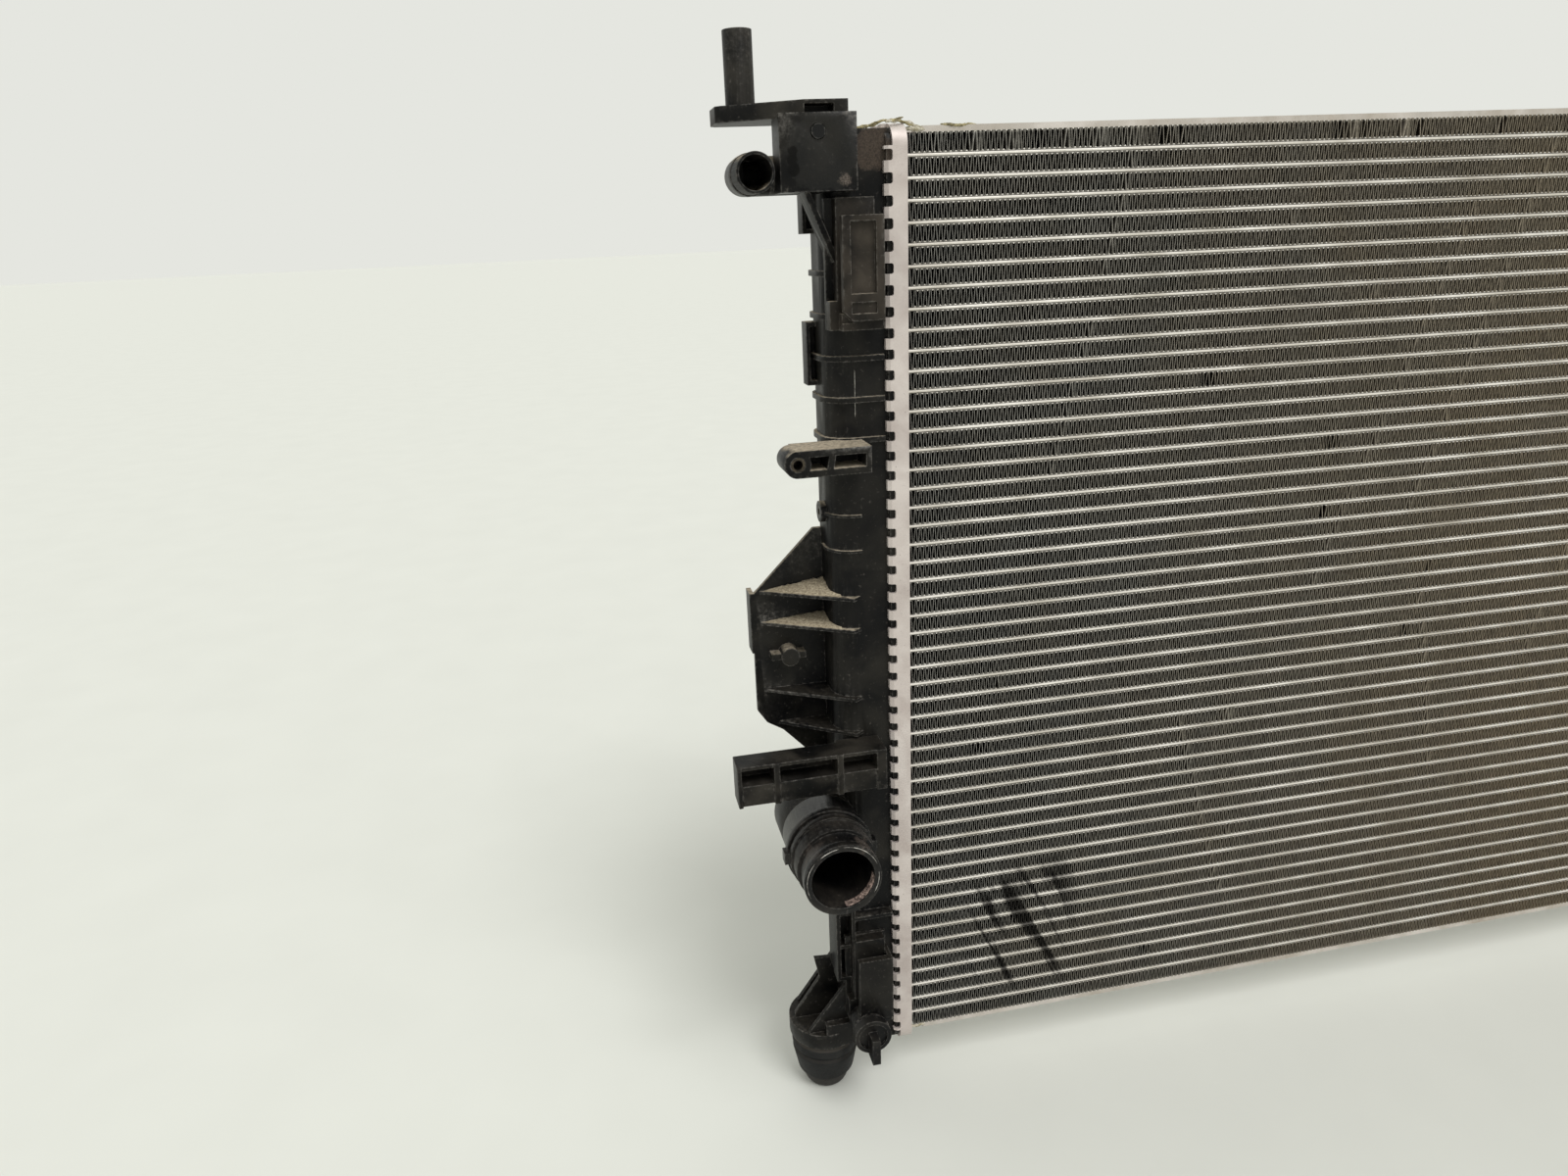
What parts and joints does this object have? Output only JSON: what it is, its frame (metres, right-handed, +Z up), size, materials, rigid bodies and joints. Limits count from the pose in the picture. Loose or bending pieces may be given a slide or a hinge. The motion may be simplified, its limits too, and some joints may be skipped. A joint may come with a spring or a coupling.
{
  "type": "car radiator",
  "caption": "Cross-flow car radiator: flat-tube and fin core between crimped plastic end tanks, with hose necks, mounting pins, rubber isolators and a drain plug.",
  "frame": {"origin": "midway between the two lower pegs' axes, on the plane that the isolators' shoulders rest on, in the core's middle plane", "axes": "+X along the tubes, from the outlet tank to the inlet tank; +Y from the hose side to the grille side; +Z up along the pins"},
  "size_m": [0.8365, 0.084, 0.534],
  "materials": {
    "tube_aluminium": "brazed, dull",
    "fin_aluminium": "dusty, dull",
    "plate_aluminium": "brazed, dull",
    "header_aluminium": "brazed, matte",
    "seal_rubber": "matte",
    "tank_nylon": "glass-filled nylon, dusty",
    "bracket_nylon": "glass-filled nylon, dusty",
    "stud_nylon": "moulded, satin",
    "isolator_rubber": "matte, dusty",
    "insert_brass": "knurled, dull",
    "plug_nylon": "moulded, satin",
    "ring_rubber": "matte"
  },
  "bodies": {
    "radiator": {"tubes": "tube_aluminium", "fins": "fin_aluminium", "side_plate_top": "plate_aluminium", "side_plate_bottom": "plate_aluminium", "header_left": "header_aluminium", "header_right": "header_aluminium", "seal_left": "seal_rubber", "seal_right": "seal_rubber", "tank_left": "tank_nylon", "tank_right": "tank_nylon", "outlet_neck": "tank_nylon", "inlet_neck": "tank_nylon", "vent_neck": "tank_nylon", "channel_bracket": "tank_nylon", "shroud_clip_upper_left": "tank_nylon", "shroud_clip_lower_left": "tank_nylon", "shroud_clip_upper_right": "tank_nylon", "shroud_clip_lower_right": "tank_nylon", "upper_bracket_left": "bracket_nylon", "upper_bracket_right": "bracket_nylon", "snap_stud_left": "stud_nylon", "snap_stud_right": "stud_nylon", "isolator_left": "isolator_rubber", "isolator_right": "isolator_rubber", "shroud_insert_left": "insert_brass", "shroud_insert_right": "insert_brass", "end_insert": "insert_brass"},
    "drain_seal": {"drain_ring": "ring_rubber"},
    "drain_plug": {"drain_plug": "plug_nylon"}
  },
  "joints": [
    {"name": "drain_out", "type": "slide", "parent": "radiator", "child": "drain_seal", "axis": [0, -1, 0], "range_m": [0, 0.006]},
    {"name": "drain_turn", "type": "hinge", "parent": "drain_seal", "child": "drain_plug", "pos_m": [-0.3623, -0.0335, 0.0472], "axis": [0, -1, 0], "range_deg": [0, 720]}
  ],
  "couplings": [
    {"joint": "drain_turn", "follows": "drain_out", "rad_per_m": 2094.4}
  ]
}
